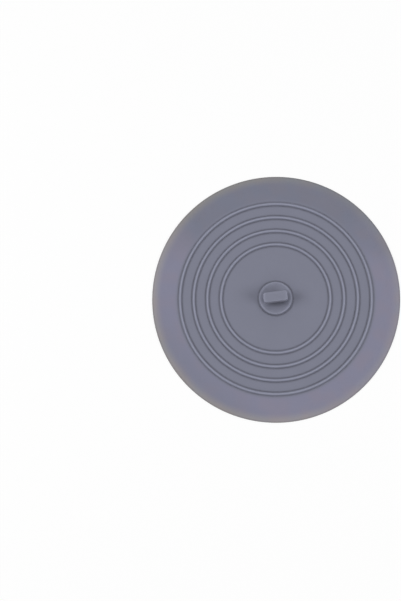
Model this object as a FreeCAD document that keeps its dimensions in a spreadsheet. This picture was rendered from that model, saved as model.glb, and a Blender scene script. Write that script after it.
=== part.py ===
import FreeCAD, Part
import os
import Sketcher

# A flat drain stopper moulded in soft silicone: a ribbed disc that covers the drain hole,
# a low dished boss in its middle, and a pull tab that the fingers pinch to lift it.
# Z is up, X runs along the pull tab, and the origin is the middle of the flat underside.
# Every solid is modelled standing on its own seat and placed at the height of that seat.

# Driving dimensions in millimetres.
DIMENSIONS = (
    ("disc_diameter", "150"),
    ("sheet_thickness", "1.8"),
    ("flange_width", "17.1"),
    ("lip_width", "6"),
    ("lip_drop", "0.8"),
    ("lip_edge_bevel", "0.35"),
    ("rib_pitch", "8.3"),
    ("rib_width", "2.4"),
    ("rib_height", "0.9"),
    ("rib_flank_draft", "0.25"),
    ("rib_shoulder_run", "0.55"),
    ("rib_shoulder_drop", "0.35"),
    ("boss_height", "2"),
    ("boss_draft", "0.65"),
    ("bead_top_width", "1.2"),
    ("bead_slope_width", "1"),
    ("bead_edge_bevel", "0.3"),
    ("dish_depth", "0.8"),
    ("dish_margin", "0.85"),
    ("neck_height", "3.6"),
    ("neck_flare", "0.4"),
    ("neck_flare_height", "0.6"),
    ("neck_corner_radius", "1.2"),
    ("grip_length", "14.6"),
    ("grip_width", "6.2"),
    ("grip_height", "6"),
    ("grip_corner_radius", "1.5"),
    ("grip_edge_round", "0.8"),
    ("grip_end_overhang", "1"),
    ("grip_side_overhang", "0.9"),
)
RIB_COUNT = 4

doc = FreeCAD.newDocument("drain_stopper")
sizes = doc.addObject("Spreadsheet::Sheet", "Sizes")
for row, (alias, number) in enumerate(DIMENSIONS, start=1):
    sizes.set(f"A{row}", alias)
    sizes.set(f"B{row}", number)
    sizes.setAlias(f"B{row}", alias)
doc.recompute()

# Sizes that follow from the driving dimensions, as expressions.
ZERO = "0"
RIM_RADIUS = "Sizes.disc_diameter / 2"
LIP_START_RADIUS = f"{RIM_RADIUS} - Sizes.lip_width"
LIP_EDGE_HEIGHT = "Sizes.sheet_thickness - Sizes.lip_drop"
LIP_ROUND = "(Sizes.lip_width ^ 2 + Sizes.lip_drop ^ 2) / (2 * Sizes.lip_drop)"
OUTER_RIB_RADIUS = f"{RIM_RADIUS} - Sizes.flange_width"
RIB_FLANK_HEIGHT = "Sizes.rib_height - Sizes.rib_shoulder_drop"
NECK_LENGTH = "(Sizes.grip_length - 2 * Sizes.grip_end_overhang)"
NECK_WIDTH = "(Sizes.grip_width - 2 * Sizes.grip_side_overhang)"
NECK_END_LENGTH = f"({NECK_LENGTH} + 2 * Sizes.neck_flare)"
NECK_END_WIDTH = f"({NECK_WIDTH} + 2 * Sizes.neck_flare)"
NECK_END_CORNER = "Sizes.neck_corner_radius + Sizes.neck_flare"
DISH_FLOOR_HEIGHT = "Sizes.boss_height - Sizes.dish_depth"
DISH_RADIUS = f"{NECK_END_LENGTH} / 2 + Sizes.dish_margin"
BEAD_INNER_RADIUS = f"{DISH_RADIUS} + Sizes.bead_slope_width"
BEAD_OUTER_RADIUS = f"{BEAD_INNER_RADIUS} + Sizes.bead_top_width"
BOSS_FOOT_RADIUS = f"{BEAD_OUTER_RADIUS} + Sizes.boss_draft"

# Heights of the seats that the solids stand on.
SHEET_TOP = "Sizes.sheet_thickness"
NECK_SEAT = f"{SHEET_TOP} + {DISH_FLOOR_HEIGHT}"
GRIP_SEAT = f"{NECK_SEAT} + Sizes.neck_height"

FULL_TURN = 360
SAME_LEVEL = 1e-6


def value(expression):
    return float(sizes.evalExpression(expression))


def new_body(label, seat=ZERO):
    """An empty body whose own zero level lies at the height of its seat."""
    body = doc.addObject("PartDesign::Body", label)
    body.Label = label
    if seat != ZERO:
        body.setExpression("Placement.Base.z", seat)
    return body


def new_sketch(body, name, role, level=ZERO):
    """A sketch on one of the body's own planes, raised from that plane by a level."""
    plane = next(f for f in body.Origin.OriginFeatures if f.Role == role)
    sketch = body.newObject("Sketcher::SketchObject", f"{body.Label}_{name}")
    sketch.AttachmentSupport = [(plane, "")]
    sketch.MapMode = "FlatFace"
    if level != ZERO:
        sketch.setExpression("AttachmentOffset.Base.z", level)
    return sketch


def hold(sketch, kind, where, expression):
    """A constraint whose value follows an expression."""
    index = sketch.addConstraint(Sketcher.Constraint(kind, *where, value(expression)))
    sketch.setExpression(f"Constraints[{index}]", expression)


def hold_point(sketch, point, across, up):
    """Keep a point of the sketch at a place given by two expressions.

    A sketch numbers its level axis -1, its upright axis -2, and its origin as point 1 of the first.
    """
    for kind, zero_axis, expression in (("DistanceX", -2, across), ("DistanceY", -1, up)):
        if expression == ZERO:
            sketch.addConstraint(Sketcher.Constraint("PointOnObject", *point, zero_axis))
        else:
            hold(sketch, kind, (-1, 1, *point), expression)


def edge_point(sketch, edge, place):
    """The end of an edge that lies at a place. A sketch numbers the two ends 1 and 2."""
    return edge, min((1, 2), key=lambda end: (sketch.getPoint(edge, end) - place).Length)


def arc_middle(start, end, radius):
    """The middle of an arc that bulges to the right of the way from start to end."""
    chord = end - start
    rise = radius - (radius ** 2 - (chord.Length / 2) ** 2) ** 0.5
    return (start + end) / 2 + FreeCAD.Vector(chord.y, -chord.x, 0).normalize() * rise


def outline(sketch, corners, arcs=None):
    """A closed outline, anticlockwise through corners that are pairs of expressions.

    arcs gives the radius of each side that bulges outwards, by the number of its first corner.
    """
    arcs = arcs or {}
    places = [FreeCAD.Vector(value(across), value(up), 0) for across, up in corners]
    ends = places[1:] + places[:1]
    for side, (start, end) in enumerate(zip(places, ends)):
        if side in arcs:
            sketch.addGeometry(Part.Arc(start, arc_middle(start, end, value(arcs[side])), end))
        else:
            sketch.addGeometry(Part.LineSegment(start, end))
    for side, (place, corner) in enumerate(zip(places, corners)):
        before = (side - 1) % len(corners)
        point = edge_point(sketch, side, place)
        sketch.addConstraint(Sketcher.Constraint("Coincident", *edge_point(sketch, before, place), *point))
        hold_point(sketch, point, *corner)
    for side, radius in arcs.items():
        hold(sketch, "Radius", (side,), radius)


def rounded_rectangle(sketch, length, width, corner):
    """A rectangle with quarter-round corners, centred on the sketch's origin."""
    end, side = f"(({length}) / 2)", f"(({width}) / 2)"
    end_run, side_run = f"({end} - ({corner}))", f"({side} - ({corner}))"
    corners = (
        (f"-{end_run}", f"-{side}"),
        (end_run, f"-{side}"),
        (end, f"-{side_run}"),
        (end, side_run),
        (end_run, side),
        (f"-{end_run}", side),
        (f"-{end}", side_run),
        (f"-{end}", f"-{side_run}"),
    )
    outline(sketch, corners, arcs={first: corner for first in range(1, len(corners), 2)})


def revolve(body, sketch):
    """Turn a half section round the body's upright axis."""
    turned = body.newObject("PartDesign::Revolution", f"{body.Label}_turned")
    turned.Profile = sketch
    turned.ReferenceAxis = (sketch, ["V_Axis"])
    turned.Angle = FULL_TURN
    doc.recompute()
    return turned


def pad(body, sketch, height):
    """Raise an outline to a height."""
    raised = body.newObject("PartDesign::Pad", f"{body.Label}_raised")
    raised.Profile = sketch
    raised.setExpression("Length", height)
    doc.recompute()
    return raised


def ease(body, feature, chosen, kind, measure, size):
    """Round or bevel the edges of a feature that pass a test."""
    names = [f"Edge{n}" for n, edge in enumerate(feature.Shape.Edges, start=1) if chosen(edge.BoundBox)]
    eased = body.newObject(f"PartDesign::{kind}", f"{body.Label}_eased")
    eased.Base = (feature, names)
    eased.setExpression(measure, size)
    doc.recompute()


def is_level(box):
    return box.ZLength < SAME_LEVEL


def is_at(level):
    """A test for edges that lie level at a height."""
    height = value(level)
    return lambda box: is_level(box) and abs(box.ZMax - height) < SAME_LEVEL


def sealing_flange():
    """The plain outer ring, whose top droops to a thin bevelled lip."""
    body = new_body("sealing_flange")
    section = new_sketch(body, "section", "XZ_Plane")
    corners = (
        (OUTER_RIB_RADIUS, ZERO),
        (RIM_RADIUS, ZERO),
        (RIM_RADIUS, LIP_EDGE_HEIGHT),
        (LIP_START_RADIUS, SHEET_TOP),
        (OUTER_RIB_RADIUS, SHEET_TOP),
    )
    outline(section, corners, arcs={2: LIP_ROUND})
    ring = revolve(body, section)
    ease(body, ring, is_at(LIP_EDGE_HEIGHT), "Chamfer", "Size", "Sizes.lip_edge_bevel")
    return body


def centre_panel():
    """The thin flexible sheet inside the outer rib."""
    body = new_body("centre_panel")
    section = new_sketch(body, "section", "XZ_Plane")
    corners = ((ZERO, ZERO), (OUTER_RIB_RADIUS, ZERO), (OUTER_RIB_RADIUS, SHEET_TOP), (ZERO, SHEET_TOP))
    outline(section, corners)
    revolve(body, section)
    return body


def rib_ring(number):
    """One bead on the sheet, half round in five flats. The outermost covers the flange's join."""
    body = new_body(f"rib_ring_{number}", SHEET_TOP)
    section = new_sketch(body, "section", "XZ_Plane")
    crest = f"{OUTER_RIB_RADIUS} - {RIB_COUNT - number} * Sizes.rib_pitch"
    half_widths = (
        ("Sizes.rib_width / 2", ZERO),
        ("(Sizes.rib_width / 2 - Sizes.rib_flank_draft)", RIB_FLANK_HEIGHT),
        ("(Sizes.rib_width / 2 - Sizes.rib_flank_draft - Sizes.rib_shoulder_run)", "Sizes.rib_height"),
    )
    outer_side = [(f"{crest} + {half}", height) for half, height in half_widths]
    inner_side = [(f"{crest} - {half}", height) for half, height in reversed(half_widths)]
    outline(section, outer_side + inner_side)
    revolve(body, section)
    return body


def knob_base():
    """The round boss: a drafted side, a bevelled bead along its edge and a dished floor."""
    body = new_body("knob_base", SHEET_TOP)
    section = new_sketch(body, "section", "XZ_Plane")
    corners = (
        (ZERO, ZERO),
        (BOSS_FOOT_RADIUS, ZERO),
        (BEAD_OUTER_RADIUS, "Sizes.boss_height"),
        (BEAD_INNER_RADIUS, "Sizes.boss_height"),
        (DISH_RADIUS, DISH_FLOOR_HEIGHT),
        (ZERO, DISH_FLOOR_HEIGHT),
    )
    outline(section, corners)
    boss = revolve(body, section)
    ease(body, boss, is_at("Sizes.boss_height"), "Chamfer", "Size", "Sizes.bead_edge_bevel")
    return body


def tab_neck():
    """The neck, flared to the boss below it and to the grip above it."""
    body = new_body("tab_neck", NECK_SEAT)
    wide = (NECK_END_LENGTH, NECK_END_WIDTH, NECK_END_CORNER)
    narrow = (NECK_LENGTH, NECK_WIDTH, "Sizes.neck_corner_radius")
    levels = (
        ("foot", ZERO, wide),
        ("waist_start", "Sizes.neck_flare_height", narrow),
        ("waist_end", "Sizes.neck_height - Sizes.neck_flare_height", narrow),
        ("head", "Sizes.neck_height", wide),
    )
    sections = []
    for name, level, plan in levels:
        section = new_sketch(body, name, "XY_Plane", level)
        rounded_rectangle(section, *plan)
        sections.append(section)
    neck = body.newObject("PartDesign::AdditiveLoft", "tab_neck_lofted")
    neck.Profile = sections[0]
    neck.Sections = sections[1:]
    neck.Ruled = True
    doc.recompute()
    return body


def pull_tab():
    """The block that the fingers pinch, rounded all over."""
    body = new_body("pull_tab", GRIP_SEAT)
    plan = new_sketch(body, "plan", "XY_Plane")
    rounded_rectangle(plan, "Sizes.grip_length", "Sizes.grip_width", "Sizes.grip_corner_radius")
    block = pad(body, plan, "Sizes.grip_height")
    ease(body, block, is_level, "Fillet", "Radius", "Sizes.grip_edge_round")
    return body


def is_sound(shape):
    return not shape.isNull() and shape.isValid() and len(shape.Solids) == 1


def check(bodies):
    """Stop before anything is written if an object failed, a sketch is loose or a solid is unsound."""
    failed = [o.Label for o in doc.Objects if {"Invalid", "Error"} & set(o.State)]
    loose = [s.Label for s in doc.findObjects("Sketcher::SketchObject") if not s.FullyConstrained]
    unsound = [b.Label for b in bodies if not is_sound(b.Shape)]
    if failed or loose or unsound:
        raise RuntimeError(f"failed: {failed}, not fully constrained: {loose}, unsound: {unsound}")


bodies = [sealing_flange(), centre_panel()]
bodies += [rib_ring(number) for number in range(1, RIB_COUNT + 1)]
bodies += [knob_base(), tab_neck(), pull_tab()]
doc.recompute()
check(bodies)

os.makedirs("parts", exist_ok=True)
for body in bodies:
    body.Shape.exportStep(os.path.join("parts", f"{body.Label}.step"))
    print(f"{body.Label}: {body.Shape.Volume:.1f} mm3")
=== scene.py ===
import math

import bpy
import numpy as np
from mathutils import Matrix, Vector


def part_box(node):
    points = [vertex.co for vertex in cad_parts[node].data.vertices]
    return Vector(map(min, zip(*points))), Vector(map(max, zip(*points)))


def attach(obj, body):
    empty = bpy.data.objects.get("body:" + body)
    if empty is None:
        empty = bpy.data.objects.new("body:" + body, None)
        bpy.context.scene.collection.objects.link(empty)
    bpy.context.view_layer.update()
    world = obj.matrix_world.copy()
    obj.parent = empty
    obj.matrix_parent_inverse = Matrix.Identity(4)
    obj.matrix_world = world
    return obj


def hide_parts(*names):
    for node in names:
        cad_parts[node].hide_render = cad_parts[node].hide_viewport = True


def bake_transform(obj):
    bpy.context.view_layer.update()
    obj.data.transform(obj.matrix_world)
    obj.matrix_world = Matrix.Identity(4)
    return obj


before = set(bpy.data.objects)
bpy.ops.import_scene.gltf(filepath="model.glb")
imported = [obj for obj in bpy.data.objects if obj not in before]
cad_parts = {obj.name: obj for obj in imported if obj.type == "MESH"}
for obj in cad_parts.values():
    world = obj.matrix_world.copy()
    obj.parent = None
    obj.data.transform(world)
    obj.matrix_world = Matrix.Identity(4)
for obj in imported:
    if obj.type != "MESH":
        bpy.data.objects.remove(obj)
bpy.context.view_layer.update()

# A flat silicone drain stopper lying on a pale floor: a ribbed disc, a dished boss and a pull tab.
# Lengths are metres in the part's own frame, with Z up and X along the pull tab.

MM = 0.001

# Sizes read from the frame.
RIM_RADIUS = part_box("sealing_flange")[1].x
SHEET_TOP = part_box("centre_panel")[1].z
RIB_NODES = sorted(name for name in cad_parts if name.startswith("rib_ring_"))
RIB_HALF_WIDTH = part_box(RIB_NODES[-1])[1].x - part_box("centre_panel")[1].x
RIB_RADII = [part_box(name)[1].x - RIB_HALF_WIDTH for name in RIB_NODES]
RIB_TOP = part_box(RIB_NODES[0])[1].z
BOSS_FOOT_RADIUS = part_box("knob_base")[1].x
BOSS_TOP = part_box("knob_base")[1].z
NECK_LOW, NECK_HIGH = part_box("tab_neck")
GRIP_LOW, GRIP_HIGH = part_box("pull_tab")

# Sizes of the moulded details.
UNDERSIDE_HOLLOW = 0.1 * MM
LIP_WIDTH = 6 * MM
LIP_DROP = 0.8 * MM
LIP_EDGE_ROUND = 0.45 * MM
BOSS_DRAFT = 0.65 * MM
BOSS_FOOT_ROUND = 0.6 * MM
BOSS_FOOT_DIP = 0.004 * MM
BEAD_ROUND = 0.5 * MM
DISH_POWER = 3
NECK_FLARE = 0.4 * MM
NECK_FLARE_HEIGHT = 0.6 * MM
GRIP_CORNER = 1.7 * MM
GRIP_LEAST_CORNER_SHARE = 1 / 3
GRIP_EDGE_ROUND = 0.8 * MM
GRIP_UNDER_ROUND = NECK_FLARE / 2
GRIP_CROWN = 0.1 * MM
GRIP_CROWN_INSET_SHARE = 0.5
SEATING = 0.3 * MM

# Radii worked out from those sizes.
LIP_START = RIM_RADIUS - LIP_WIDTH
FLANGE_START = RIB_RADII[-1] + RIB_HALF_WIDTH
BEAD_OUTER = BOSS_FOOT_RADIUS - BOSS_DRAFT
BOSS_FOOT_END = BOSS_FOOT_RADIUS + BOSS_FOOT_ROUND

# How finely the meshes are divided.
DISC_SEGMENTS = 216
BOSS_SEGMENTS = 160
ARC_STEP = math.radians(14)
LEAST_ARC_STEPS = 2
LIP_STEPS = 10
RIB_HALF_STEPS = 6
DISH_RINGS = 16
GRIP_CROWN_RINGS = 4
CORNER_STEPS = 8
LONG_SIDE_STEPS = 22
SHORT_SIDE_STEPS = 9
WEB_STEP = 2.0 * MM
TAB_STEP = 0.6 * MM
LEAST_RING_GAP = 0.002 * MM
CREASE_RING_SHARES = (0.4, 0.8, 1.3, 2.0)
# The signs of X and Y in the four quarters, counterclockwise.
QUARTERS = ((1, 1), (-1, 1), (-1, -1), (1, -1))

# Painted highlights on crests and edges, and painted shade in creases, hollows, round the boss and at the
# rim, as shares of the silicone's colour.
CREST_HIGHLIGHT_SHARE = 0.46
CREASE_SHADE_SHARE = 0.42
OUTER_CREASE_SHARE = 0.7
BOSS_CREASE_SHARE = 1.15
NECK_CREASE_SHARE = 0.5
BOSS_SHADOW_SHARE = 0.07
RIM_EDGE_SHADE_SHARE = 0.3
BEAD_HIGHLIGHT_SHARE = 0.06
BEAD_END_LIGHT_SHARE = 0.1
BEAD_LINE_HIGHLIGHT_SHARE = 0.23
BEAD_LIGHT_POWER = 4
DISH_SHADE_SHARE = 0.1
DISH_BACK_SHADE_SHARE = 0.14
DISH_FRONT_SHADE_SHARE = 0.24
TAB_END_HIGHLIGHT_SHARE = 0.36
TAB_SIDE_HIGHLIGHT_SHARE = 0.2

# How far that painted light and shade spreads.
CREST_SPREAD = 0.5 * MM
FLANK_SPREAD = 0.35 * MM
CREASE_SPREAD = 0.6 * MM
BOSS_SHADOW_SPREAD = 3.5 * MM
RIM_EDGE_SPREAD = 0.5 * MM
BEAD_SPREAD = 0.4 * MM
DISH_SPREAD = 1.1 * MM
TAB_EDGE_SPREAD = 1.1 * MM

# Colours and tints, linear.
BODY_COLOUR = (0.184, 0.191, 0.248)
PALE_BODY_TINT = (1.03, 1.03, 1.03)
FLANGE_COLOUR = (0.212, 0.210, 0.281)
DULL_COLOUR = (0.166, 0.174, 0.224)
# The lip's tint is painted light shining through the thin lip.
LIP_GLOW_TINT = (1.38, 1.31, 1.02)
COOL_TINT = (0.98, 0.993, 1.024)
WARM_TINT = (1.024, 0.99, 0.99)
DARK_SPECK_TINT = (0.97, 0.97, 0.97)
PALE_SPECK_TINT = (1.03, 1.03, 1.03)
FLOOR_COLOUR = (0.97, 0.97, 0.97)

# Uneven patches: the width of a noise's features, its detail, and the values between which a colour turns.
CLOUD_WIDTH = 14 * MM
CLOUD_DETAIL = 2.0
CLOUD_SPAN = (0.3, 0.7)
HUE_WIDTH = 12 * MM
HUE_DETAIL = 1.0
HUE_SPAN = (0.35, 0.65)
GRAIN_WIDTH = 0.35 * MM
GRAIN_DETAIL = 3.0
GRAIN_SPAN = (0.35, 0.65)
WANDER_WIDTH = 35 * MM
WANDER_DETAIL = 1.5
WANDER_REACH = 40 * MM
NOISE_ROUGHNESS = 0.5

# Directions along which the flange and its lip change colour, and the stretch over which they do.
FRONTWARD = (-0.15, -0.99, 0)
BACK_DULL_STRETCH = (-65 * MM, -10 * MM)
FRONT_LEFTWARD = (-0.79, -0.61, 0)
FRONT_LEFT_DULL_STRETCH = (48 * MM, 70 * MM)
FRONT_LEFT_DULL_SHARE = 0.45
# The painted light through the lip is full on the left and falls to half on the right.
LEFTWARD = (-1, 0, 0)
LIP_GLOW_STRETCH = (-65 * MM, 10 * MM)
LIP_LEAST_GLOW_SHARE = 0.5

# The finish of the silicone.
GRAIN_DEPTH = 0.05 * MM
GRAIN_STRENGTH = 0.5
ROUGHNESS_SPAN = (0.58, 0.7)
SPECULAR_LEVEL = 0.3
SHEEN_WEIGHT = 0.08
SHEEN_ROUGHNESS = 0.5

# Places of a Mix node's sockets when it mixes colours.
MIX_SHARE_INPUT = 0
MIX_FIRST_INPUT = 6
MIX_SECOND_INPUT = 7
MIX_OUTPUT = 2

# The camera. The photograph's frame is 401 by 601 pixels, and the sensor spans its longer side.
FRAME_WIDTH = 401
FRAME_HEIGHT = 601
CENTRE_PIXEL = (275.6, 298.4)
SENSOR = 36.0
LENS = 92.0
VIEW_DISTANCE = 0.929
VIEW_AZIMUTH = math.radians(-7.2)
VIEW_ELEVATION = math.radians(83.1)
VIEW_LEAN = math.radians(3.3)

# Shares of the light that falls on a level surface. They add up to one, so a colour renders as written.
AMBIENT_SHARE = 0.3
# Each softbox has a share, an azimuth and an elevation in degrees, a distance and the length of its side.
SOFTBOXES = (
    ("overhead", 0.22, 90, 73, 1.5, 0.6),
    ("left", 0.27, 174, 45, 1.1, 0.5),
    ("right", 0.21, -20, 38, 1.1, 0.5),
)

# The floor is in part white of its own. Far off only the ambient light falls on it, and the background
# has the tone that it has there.
FLOOR_HALF_WIDTH = 4.0
FLOOR_HEIGHT = -0.05 * MM
FLOOR_WHITE_SHARE = 0.85
HORIZON_SHARE = FLOOR_WHITE_SHARE + (1 - FLOOR_WHITE_SHARE) * FLOOR_COLOUR[0] * AMBIENT_SHARE


def rounded_path(corners):
    """Points along straight runs through corners (across, up, radius), with each corner rounded."""
    points = [Vector(corners[0][:2])]
    for before, corner, after in zip(corners, corners[1:], corners[2:]):
        place = Vector(corner[:2])
        back = (Vector(before[:2]) - place).normalized()
        ahead = (Vector(after[:2]) - place).normalized()
        turn = math.pi - back.angle(ahead)
        reach = corner[2] * math.tan(turn / 2)
        centre = place + (back + ahead).normalized() * (corner[2] / math.cos(turn / 2))
        first_spoke = place + back * reach - centre
        last_spoke = place + ahead * reach - centre
        steps = max(LEAST_ARC_STEPS, math.ceil(turn / ARC_STEP))
        for step in range(steps + 1):
            share = step / steps
            spoke = first_spoke * math.sin((1 - share) * turn) + last_spoke * math.sin(share * turn)
            points.append(centre + spoke / math.sin(turn))
    points.append(Vector(corners[-1][:2]))
    return points


def divided(points, longest):
    """The same path with its long runs divided evenly."""
    result = [points[0]]
    for start, end in zip(points, points[1:]):
        steps = max(1, math.ceil((end - start).length / longest))
        result += [start.lerp(end, step / steps) for step in range(1, steps + 1)]
    return result


def lathe_rings(path, segments):
    """Rings of points round the Z axis for each (radius, height) of a path, as one array."""
    turn = np.arange(segments) * (2 * math.pi / segments)
    round_trip = np.column_stack([np.cos(turn), np.sin(turn), np.zeros(segments)])
    return np.array([round_trip * radius + (0, 0, height) for radius, height in path])


def fan_faces(apex, first, segments):
    """Triangles from an apex to the ring of points that starts at first, facing up."""
    return [(apex, first + step, first + (step + 1) % segments) for step in range(segments)]


def ring_faces(rings, segments, first=0):
    """Quads between neighbouring rings, facing outwards or up when the path runs outwards from the axis."""
    faces = []
    for ring in range(rings - 1):
        here = first + ring * segments
        there = here + segments
        for step in range(segments):
            following = (step + 1) % segments
            faces.append((here + step, there + step, there + following, here + following))
    return faces


def new_piece(name, points, faces, tones, materials):
    """A smooth mesh object with a tone of painted light and shade for each of its points."""
    mesh = bpy.data.meshes.new(name)
    mesh.from_pydata([tuple(point) for point in points], [], faces)
    tone = mesh.attributes.new("tone", "FLOAT", "POINT")
    tone.data.foreach_set("value", np.asarray(tones, np.float32))
    for material in materials:
        mesh.materials.append(material)
    mesh.shade_smooth()
    mesh.validate()
    piece = bpy.data.objects.new(name, mesh)
    bpy.context.scene.collection.objects.link(piece)
    return piece


def fade(distance, spread):
    """One at no distance, falling away to either side in a bell curve."""
    return math.exp(-((distance / spread) ** 2))


def crease_shade(distance):
    """The painted shade near a crease, as a value below zero.

    The distance runs along the level or, below zero, up the flank.
    """
    return -CREASE_SHADE_SHARE * fade(distance, CREASE_SPREAD if distance > 0 else FLANK_SPREAD)


def disc_tone(radius):
    """The tone of the disc's top: painted highlights on the rib crests, painted shade in the creases, a
    painted shadow round the boss and painted shade at the edge.
    """
    from_crest = min(abs(radius - crest) for crest in RIB_RADII)
    crest_highlight = CREST_HIGHLIGHT_SHARE * fade(from_crest, CREST_SPREAD)
    crease = crease_shade(from_crest - RIB_HALF_WIDTH)
    if radius > RIB_RADII[-1]:
        crease *= OUTER_CREASE_SHARE
    from_boss = abs(radius - BOSS_FOOT_RADIUS)
    boss_crease = BOSS_CREASE_SHARE * crease_shade(from_boss)
    boss_shadow = BOSS_SHADOW_SHARE * math.exp(-from_boss / BOSS_SHADOW_SPREAD)
    rim_shade = RIM_EDGE_SHADE_SHARE * fade(RIM_RADIUS - radius, RIM_EDGE_SPREAD)
    return 1 + crest_highlight + crease + boss_crease - boss_shadow - rim_shade


def boss_tone(point):
    """The tone of the boss: painted shade along the tab's long sides and at the foot, a painted highlight on
    the bead, and painted light towards the bead beyond the tab's ends.
    """
    x, y, z = point
    radius = math.hypot(x, y)
    end_share = (x / radius) ** 2 if radius else 0
    rise = min(radius / BEAD_OUTER, 1) ** BEAD_LIGHT_POWER
    painted_light = rise * (BEAD_HIGHLIGHT_SHARE + BEAD_END_LIGHT_SHARE * end_share)
    from_bead = radius - (BEAD_OUTER - BEAD_ROUND / 2)
    painted_light += BEAD_LINE_HIGHLIGHT_SHARE * fade(from_bead, BEAD_SPREAD)
    if radius > BEAD_OUTER:
        painted_light *= max(z - SHEET_TOP, 0) / (BOSS_TOP - SHEET_TOP)
    painted_shade = (1 - rise) * (1 - end_share) * DISH_SHADE_SHARE
    side_shade = DISH_BACK_SHADE_SHARE if y > 0 else DISH_FRONT_SHADE_SHARE
    beside = max(abs(y) - GRIP_HIGH.y, 0)
    past_side = max(abs(x) - (GRIP_HIGH.x - 2 * GRIP_CORNER), 0)
    painted_shade += side_shade * fade(beside, DISH_SPREAD) * fade(past_side, GRIP_CORNER)
    from_foot = SHEET_TOP - z if radius < BOSS_FOOT_RADIUS else radius - BOSS_FOOT_RADIUS
    return 1 + painted_light - painted_shade + BOSS_CREASE_SHARE * crease_shade(from_foot)


def tab_tone(point):
    """The tone of the tab: painted shade at the neck's foot and painted highlights on the grip's ends and
    long edges.
    """
    if point.z < GRIP_LOW.z:
        return 1 + NECK_CREASE_SHARE * crease_shade(NECK_LOW.z - point.z)
    end_highlight = TAB_END_HIGHLIGHT_SHARE * fade(GRIP_HIGH.x - abs(point.x), TAB_EDGE_SPREAD)
    side_highlight = TAB_SIDE_HIGHLIGHT_SHARE * fade(GRIP_HIGH.y - abs(point.y), TAB_EDGE_SPREAD)
    return 1 + end_highlight + side_highlight


def crease_runs():
    """Distances from a crease of the close rings that carry its tone."""
    return [share * CREASE_SPREAD for share in CREASE_RING_SHARES]


def rib_path(crest):
    """A rib's section: a low parabola from foot to foot, with close rings on the web beside each foot."""
    half_section = []
    for step in range(RIB_HALF_STEPS + 1):
        share = step / RIB_HALF_STEPS
        height = SHEET_TOP + (RIB_TOP - SHEET_TOP) * (1 - share ** 2)
        half_section.append((RIB_HALF_WIDTH * share, height))
    half_section += [(RIB_HALF_WIDTH + run, SHEET_TOP) for run in crease_runs()]
    inner = [Vector((crest - across, height)) for across, height in reversed(half_section)]
    outer = [Vector((crest + across, height)) for across, height in half_section[1:]]
    return inner + outer


def lip_path():
    """The lip's section, an arc that droops from the flange to a rounded edge."""
    bend = (LIP_WIDTH ** 2 + LIP_DROP ** 2) / (2 * LIP_DROP)
    points = []
    for run in np.linspace(0, LIP_WIDTH - LIP_EDGE_ROUND, LIP_STEPS):
        points.append(Vector((LIP_START + run, SHEET_TOP - bend + math.sqrt(bend ** 2 - run ** 2))))
    edge = [tuple(points[-1]), (RIM_RADIUS, SHEET_TOP - LIP_DROP, LIP_EDGE_ROUND), (RIM_RADIUS, 0)]
    return points + rounded_path(edge)[2:-1]


def disc_path():
    """The top of the disc from its middle to its rim: level webs, ribs and a drooping lip."""
    path = [Vector((0, SHEET_TOP)), Vector((BOSS_FOOT_RADIUS, SHEET_TOP))]
    path += [Vector((BOSS_FOOT_RADIUS + run, SHEET_TOP)) for run in crease_runs()]
    for crest in RIB_RADII:
        path += rib_path(crest)
    return divided(path + lip_path(), WEB_STEP)


def separate_radii(path):
    """The radii of a path, where points straight above one another are spread by a hair."""
    radii = [path[0].x]
    for point in path[1:]:
        radii.append(max(point.x, radii[-1] + LEAST_RING_GAP))
    return radii


def plate_rise(share):
    """The rise of a plate pushed up in its middle, at a share of the radius where it is clamped."""
    return 1 - share ** 2 + 2 * share ** 2 * math.log(share)


def lift_share(radius):
    """How far the sheet rises at a radius when the knob rises by one.

    The sheet is a plate clamped where the lip starts, and held level as far out as the boss's buried foot.
    """
    if radius >= LIP_START:
        return 0.0
    held = BOSS_FOOT_END + SEATING
    return plate_rise(max(radius, held) / LIP_START) / plate_rise(held / LIP_START)


def hollow_height(radius):
    """The underside's height, shaped so that a smooth blend over the hollow's depth is the lift share."""
    ease = 0.5 - math.sin(math.asin(1 - 2 * lift_share(radius)) / 3)
    return UNDERSIDE_HOLLOW * ease


def thicken(disc, thickness):
    """Raises the moulded top over the underside by the thickness at each ring, from the middle outwards."""
    thickest = max(thickness)
    group = disc.vertex_groups.new(name="thickness")
    for ring, measure in enumerate(thickness):
        first = 1 + (ring - 1) * DISC_SEGMENTS
        members = [0] if ring == 0 else list(range(first, first + DISC_SEGMENTS))
        group.add(members, measure / thickest, "REPLACE")
    solidify = disc.modifiers.new("moulded_top", "SOLIDIFY")
    solidify.thickness = thickest
    solidify.offset = 1
    solidify.vertex_group = group.name
    solidify.use_even_offset = False
    solidify.material_offset = 1


def make_disc(top_material, underside_material):
    """The disc: an underside of rings, thickened to the moulded top."""
    path = disc_path()
    radii = separate_radii(path)
    underside = [hollow_height(radius) for radius in radii]
    rings = lathe_rings(list(zip(radii, underside))[1:], DISC_SEGMENTS)
    points = np.vstack([[(0, 0, underside[0])], rings.reshape(-1, 3)])
    faces = fan_faces(0, 1, DISC_SEGMENTS) + ring_faces(len(rings), DISC_SEGMENTS, first=1)
    ring_tones = [disc_tone(radius) for radius in radii]
    tones = [ring_tones[0]] + [tone for tone in ring_tones[1:] for _ in range(DISC_SEGMENTS)]
    disc = new_piece("ribbed_disc", points, faces, tones, [top_material, underside_material])
    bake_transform(disc)
    thicken(disc, [point.y - under for point, under in zip(path, underside)])
    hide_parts("sealing_flange", "centre_panel", *RIB_NODES)


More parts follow.
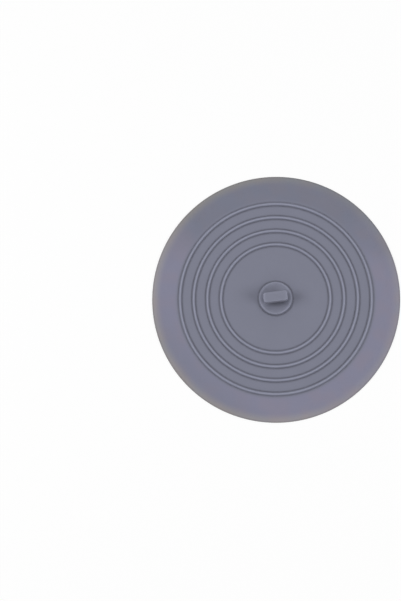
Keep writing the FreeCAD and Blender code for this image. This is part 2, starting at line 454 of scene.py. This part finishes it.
def boss_path():
    """The boss from its middle out: a shallow bowl, a rounded bead and a side that dips into the disc."""
    bead_inner = BEAD_OUTER - BEAD_ROUND
    depth = BOSS_TOP - NECK_LOW.z
    bowl = []
    for ring in range(DISH_RINGS):
        share = ring / DISH_RINGS
        bowl.append(Vector((bead_inner * share, NECK_LOW.z + depth * share ** DISH_POWER)))
    corners = [
        tuple(bowl[-1]),
        (BEAD_OUTER, BOSS_TOP, BEAD_ROUND),
        (BOSS_FOOT_RADIUS, SHEET_TOP, BOSS_FOOT_ROUND),
        (BOSS_FOOT_END, SHEET_TOP - BOSS_FOOT_DIP),
    ]
    buried_foot = Vector((BOSS_FOOT_END + SEATING, SHEET_TOP - SEATING))
    return divided(bowl + rounded_path(corners)[1:] + [buried_foot], WEB_STEP)


def make_boss(material):
    """The boss, closed underneath where it sits in the disc."""
    path = boss_path()
    rings = lathe_rings(path[1:], BOSS_SEGMENTS)
    points = np.vstack([[(0, 0, path[0].y)], rings.reshape(-1, 3), [(0, 0, SHEET_TOP - SEATING)]])
    bottom = len(points) - 1
    faces = fan_faces(0, 1, BOSS_SEGMENTS) + ring_faces(len(rings), BOSS_SEGMENTS, first=1)
    for apex, here, following in fan_faces(bottom, bottom - BOSS_SEGMENTS, BOSS_SEGMENTS):
        faces.append((apex, following, here))
    tones = [boss_tone(point) for point in points]
    knob = new_piece("dished_boss", points, faces, tones, [material])
    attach(knob, "knob")
    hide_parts("knob_base")


def rounded_loop(half_length, half_width, corner, height):
    """Points round a rectangle with rounded corners, centred on the Z axis."""
    arcs = []
    for quarter, (across, along) in enumerate(QUARTERS):
        centre = Vector((across * (half_length - corner), along * (half_width - corner), height))
        turns = [math.pi / 2 * (quarter + step / CORNER_STEPS) for step in range(CORNER_STEPS + 1)]
        arcs.append([centre + corner * Vector((math.cos(turn), math.sin(turn), 0)) for turn in turns])
    points = []
    side_steps = 2 * (LONG_SIDE_STEPS, SHORT_SIDE_STEPS)
    for arc, following, steps in zip(arcs, arcs[1:] + arcs[:1], side_steps):
        points += arc
        points += [arc[-1].lerp(following[0], step / steps) for step in range(1, steps)]
    return points


def tab_path():
    """Inset from the grip's plan and height of each level section of the tab, from foot to crown."""
    overhang = GRIP_HIGH.y - NECK_HIGH.y
    waist = overhang + NECK_FLARE
    edge_top = GRIP_HIGH.z - GRIP_CROWN
    crown_end = GRIP_HIGH.y * GRIP_CROWN_INSET_SHARE
    corners = [
        (overhang - NECK_FLARE, NECK_LOW.z - SEATING),
        (overhang, NECK_LOW.z, NECK_FLARE),
        (waist, NECK_LOW.z + NECK_FLARE_HEIGHT, NECK_FLARE),
        (waist, NECK_HIGH.z - NECK_FLARE_HEIGHT, NECK_FLARE),
        (overhang, GRIP_LOW.z, GRIP_UNDER_ROUND),
        (0, GRIP_LOW.z, GRIP_EDGE_ROUND),
        (0, edge_top, GRIP_EDGE_ROUND),
        (crown_end, edge_top),
    ]
    path = rounded_path(corners)[:-1]
    crown_start = path[-1].x
    for ring in range(1, GRIP_CROWN_RINGS + 1):
        share = ring / GRIP_CROWN_RINGS
        inset = crown_start + (crown_end - crown_start) * share
        path.append(Vector((inset, edge_top + GRIP_CROWN * math.sin(share * math.pi / 2))))
    return divided(path, TAB_STEP)


def make_tab(material):
    """The pull tab: a waisted neck and a rounded block, moulded in one."""
    loops = []
    for inset, height in tab_path():
        half_width = GRIP_HIGH.y - inset
        corner = max(GRIP_CORNER - inset, half_width * GRIP_LEAST_CORNER_SHARE)
        loops.append(rounded_loop(GRIP_HIGH.x - inset, half_width, corner, height))
    count = len(loops[0])
    points = [point for loop in loops for point in loop]
    tones = [tab_tone(point) for point in points]
    faces = [tuple(reversed(face)) for face in ring_faces(len(loops), count)]
    faces.append(tuple(range(len(points) - count, len(points))))
    faces.append(tuple(reversed(range(count))))
    tab = new_piece("pinched_tab", points, faces, tones, [material])
    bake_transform(tab)
    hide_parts("tab_neck", "pull_tab")


def add_node(tree, kind, inputs=None, **settings):
    """A node with its settings, and its inputs either linked from a socket or set to a value."""
    node = tree.nodes.new(kind)
    for name, setting in settings.items():
        setattr(node, name, setting)
    for name, source in (inputs or {}).items():
        if isinstance(source, bpy.types.NodeSocket):
            tree.links.new(source, node.inputs[name])
        else:
            node.inputs[name].default_value = source
    return node


def ramp_up(tree, socket, low, high, least=0.0):
    """A smooth rise from the least value at low to 1 at high."""
    inputs = {"Value": socket, "From Min": low, "From Max": high, "To Min": least}
    node = add_node(tree, "ShaderNodeMapRange", inputs, interpolation_type="SMOOTHSTEP")
    return node.outputs["Result"]


def spread_out(tree, socket, low, high):
    """A value from 0 to 1 as one from low to high."""
    inputs = {"Value": socket, "To Min": low, "To Max": high}
    return add_node(tree, "ShaderNodeMapRange", inputs).outputs["Result"]


def mix_colour(tree, share, first, second, blend="MIX"):
    """Two colours mixed or multiplied, the second in a share. Each is a socket or a linear colour."""
    inputs = {MIX_SHARE_INPUT: share}
    for place, colour in ((MIX_FIRST_INPUT, first), (MIX_SECOND_INPUT, second)):
        inputs[place] = colour if isinstance(colour, bpy.types.NodeSocket) else (*colour, 1)
    node = add_node(tree, "ShaderNodeMix", inputs, data_type="RGBA", blend_type=blend)
    return node.outputs[MIX_OUTPUT]


def tinted(tree, colour, tint, share=1.0):
    """A colour multiplied by a tint, fully or in a share."""
    return mix_colour(tree, share, colour, tint, blend="MULTIPLY")


def multiply(tree, first, second):
    """The product of two values."""
    return add_node(tree, "ShaderNodeMath", {0: first, 1: second}, operation="MULTIPLY").outputs[0]


def noise(tree, place, width, detail):
    """Cloudy noise whose features are about as wide as the given width."""
    inputs = {"Vector": place, "Scale": 1 / width, "Detail": detail, "Roughness": NOISE_ROUGHNESS}
    return add_node(tree, "ShaderNodeTexNoise", inputs).outputs["Fac"]


def drift(tree, place, direction, wander=0.0):
    """How far a place lies along a direction, with an uneven offset where one is given."""
    along = add_node(tree, "ShaderNodeVectorMath", {0: place, 1: direction}, operation="DOT_PRODUCT")
    return add_node(tree, "ShaderNodeMath", {0: along.outputs["Value"], 1: wander}).outputs[0]


def axis_distance(tree, place):
    """A place's distance from the Z axis."""
    flat = add_node(tree, "ShaderNodeVectorMath", {0: place, 1: (1, 1, 0)}, operation="MULTIPLY")
    length = add_node(tree, "ShaderNodeVectorMath", {0: flat.outputs[0]}, operation="LENGTH")
    return length.outputs["Value"]


def flange_colour(tree, place, wander):
    """The flange: bluer than the body, duller at the back and the front left, in cool and warm patches."""
    frontward = drift(tree, place, FRONTWARD, wander)
    colour = mix_colour(tree, ramp_up(tree, frontward, *BACK_DULL_STRETCH), DULL_COLOUR, FLANGE_COLOUR)
    front_leftward = drift(tree, place, FRONT_LEFTWARD)
    dull = multiply(tree, ramp_up(tree, front_leftward, *FRONT_LEFT_DULL_STRETCH), FRONT_LEFT_DULL_SHARE)
    colour = mix_colour(tree, dull, colour, DULL_COLOUR)
    hue = ramp_up(tree, noise(tree, place, HUE_WIDTH, HUE_DETAIL), *HUE_SPAN)
    return tinted(tree, colour, mix_colour(tree, hue, COOL_TINT, WARM_TINT))


def moulded_colour(tree, place, body):
    """The body's colour as far as the ribs, then the flange's, with painted light shining through the thin
    lip, all multiplied by the points' tones of painted light and shade.
    """
    radius = axis_distance(tree, place)
    patches = noise(tree, place, WANDER_WIDTH, WANDER_DETAIL)
    wander = spread_out(tree, patches, -WANDER_REACH, WANDER_REACH)
    on_flange = ramp_up(tree, radius, FLANGE_START, FLANGE_START + 2 * RIB_HALF_WIDTH)
    colour = mix_colour(tree, on_flange, body, flange_colour(tree, place, wander))
    # Painted light shining through the thin lip, stronger towards the left.
    leftward = drift(tree, place, LEFTWARD, wander)
    pale = ramp_up(tree, leftward, *LIP_GLOW_STRETCH, least=LIP_LEAST_GLOW_SHARE)
    lip_glow = multiply(tree, ramp_up(tree, radius, LIP_START, RIM_RADIUS), pale)
    colour = tinted(tree, colour, LIP_GLOW_TINT, share=lip_glow)
    # The points' tones are painted highlights and painted shade.
    tone = add_node(tree, "ShaderNodeAttribute", attribute_name="tone").outputs["Color"]
    return tinted(tree, colour, tone)


def silicone(name, moulded_face):
    """Matte silicone with a fine grain. The moulded face has the moulding's colours and its painted light
    and shade as well.
    """
    material = bpy.data.materials.new(name)
    material.use_nodes = True
    tree = material.node_tree
    shader = tree.nodes["Principled BSDF"]
    place = add_node(tree, "ShaderNodeTexCoord").outputs["Object"]
    cloud = noise(tree, place, CLOUD_WIDTH, CLOUD_DETAIL)
    pale = tuple(channel * painted_light for channel, painted_light in zip(BODY_COLOUR, PALE_BODY_TINT))
    colour = mix_colour(tree, ramp_up(tree, cloud, *CLOUD_SPAN), BODY_COLOUR, pale)
    if moulded_face:
        colour = moulded_colour(tree, place, colour)
    grain = noise(tree, place, GRAIN_WIDTH, GRAIN_DETAIL)
    speckle = mix_colour(tree, ramp_up(tree, grain, *GRAIN_SPAN), DARK_SPECK_TINT, PALE_SPECK_TINT)
    bump_inputs = {"Height": grain, "Strength": GRAIN_STRENGTH, "Distance": GRAIN_DEPTH}
    bump = add_node(tree, "ShaderNodeBump", bump_inputs)
    tree.links.new(tinted(tree, colour, speckle), shader.inputs["Base Color"])
    tree.links.new(bump.outputs["Normal"], shader.inputs["Normal"])
    tree.links.new(spread_out(tree, cloud, *ROUGHNESS_SPAN), shader.inputs["Roughness"])
    shader.inputs["Specular IOR Level"].default_value = SPECULAR_LEVEL
    shader.inputs["Sheen Weight"].default_value = SHEEN_WEIGHT
    shader.inputs["Sheen Roughness"].default_value = SHEEN_ROUGHNESS
    return material


def seen_directly(tree):
    """One for rays from the camera or by way of a reflection or glass, and zero for light on the object."""
    path = add_node(tree, "ShaderNodeLightPath").outputs
    seen = path["Is Camera Ray"]
    for ray in ("Is Glossy Ray", "Is Transmission Ray"):
        seen = add_node(tree, "ShaderNodeMath", {0: seen, 1: path[ray]}, operation="MAXIMUM").outputs[0]
    return seen


def mix_shaders(tree, share, first, second):
    """The first node's shader, with a share of the second's."""
    inputs = {0: share, 1: first.outputs[0], 2: second.outputs[0]}
    return add_node(tree, "ShaderNodeMixShader", inputs).outputs[0]


def floor_material():
    """Matte white that takes shadows, with white of its own where it is seen."""
    material = bpy.data.materials.new("floor")
    material.use_nodes = True
    tree = material.node_tree
    tree.nodes.clear()
    matte = add_node(tree, "ShaderNodeBsdfDiffuse", {"Color": (*FLOOR_COLOUR, 1)})
    white = add_node(tree, "ShaderNodeEmission", {"Strength": 1.0})
    share = multiply(tree, seen_directly(tree), FLOOR_WHITE_SHARE)
    add_node(tree, "ShaderNodeOutputMaterial", {"Surface": mix_shaders(tree, share, matte, white)})
    return material


def make_floor():
    """A white floor that keeps the stopper's shadow."""
    half = FLOOR_HALF_WIDTH
    corners = [(across * half, along * half, FLOOR_HEIGHT) for across, along in QUARTERS]
    mesh = bpy.data.meshes.new("floor")
    mesh.from_pydata(corners, [], [tuple(range(len(corners)))])
    mesh.materials.append(floor_material())
    floor = bpy.data.objects.new("floor", mesh)
    bpy.context.scene.collection.objects.link(floor)


def make_world():
    """Soft white light from all round, and a background as pale as the far floor."""
    world = bpy.data.worlds.new("studio")
    bpy.context.scene.world = world
    world.use_nodes = True
    tree = world.node_tree
    tree.nodes.clear()
    ambient = add_node(tree, "ShaderNodeBackground", {"Color": (1, 1, 1, 1), "Strength": AMBIENT_SHARE})
    pale = add_node(tree, "ShaderNodeBackground", {"Color": (1, 1, 1, 1), "Strength": HORIZON_SHARE})
    mixed = mix_shaders(tree, seen_directly(tree), ambient, pale)
    add_node(tree, "ShaderNodeOutputWorld", {"Surface": mixed})


def make_softboxes():
    """Square softboxes that look at the stopper, each as strong as its share asks.

    A white surface that faces a lamp reflects its power divided by the square of pi times the distance.
    """
    for name, share, azimuth, elevation, distance, side in SOFTBOXES:
        around = math.radians(azimuth)
        above = math.radians(elevation)
        level = Vector((math.cos(around), math.sin(around), 0))
        back = level * math.cos(above) + Vector((0, 0, math.sin(above)))
        lamp = bpy.data.lights.new(name, "AREA")
        lamp.shape = "SQUARE"
        lamp.size = side
        lamp.energy = share * math.pi ** 2 * distance ** 2 / math.sin(above)
        softbox = bpy.data.objects.new(name, lamp)
        softbox.location = back * distance
        softbox.rotation_euler = back.to_track_quat("Z", "Y").to_euler()
        bpy.context.scene.collection.objects.link(softbox)


def make_camera():
    """A camera at the photograph's angle, moved sideways so that the stopper lies off the middle."""
    data = bpy.data.cameras.new("camera")
    data.lens = LENS
    data.sensor_width = SENSOR
    camera = bpy.data.objects.new("camera", data)
    bpy.context.scene.collection.objects.link(camera)
    level_right = Vector((math.cos(VIEW_AZIMUTH), math.sin(VIEW_AZIMUTH), 0))
    level_back = Vector((math.sin(VIEW_AZIMUTH), -math.cos(VIEW_AZIMUTH), 0))
    steep = level_back * math.cos(VIEW_ELEVATION) + Vector((0, 0, math.sin(VIEW_ELEVATION)))
    back = steep * math.cos(VIEW_LEAN) + level_right * math.sin(VIEW_LEAN)
    right = level_right * math.cos(VIEW_LEAN) - steep * math.sin(VIEW_LEAN)
    up = back.cross(right)
    pixel = VIEW_DISTANCE * SENSOR / (LENS * FRAME_HEIGHT)
    across = (CENTRE_PIXEL[0] - FRAME_WIDTH / 2) * pixel
    down = (CENTRE_PIXEL[1] - FRAME_HEIGHT / 2) * pixel
    camera.matrix_world = Matrix((right, up, back)).transposed().to_4x4()
    camera.location = Vector((0, 0, SHEET_TOP)) + back * VIEW_DISTANCE - right * across + up * down
    bpy.context.scene.camera = camera


def main():
    """The stopper's three pieces, and the floor, light and camera."""
    bpy.context.scene.view_settings.view_transform = "Standard"
    top = silicone("silicone_moulded_face", moulded_face=True)
    underside = silicone("silicone_underside", moulded_face=False)
    make_disc(top, underside)
    make_boss(top)
    make_tab(top)
    make_floor()
    make_world()
    make_softboxes()
    make_camera()


main()
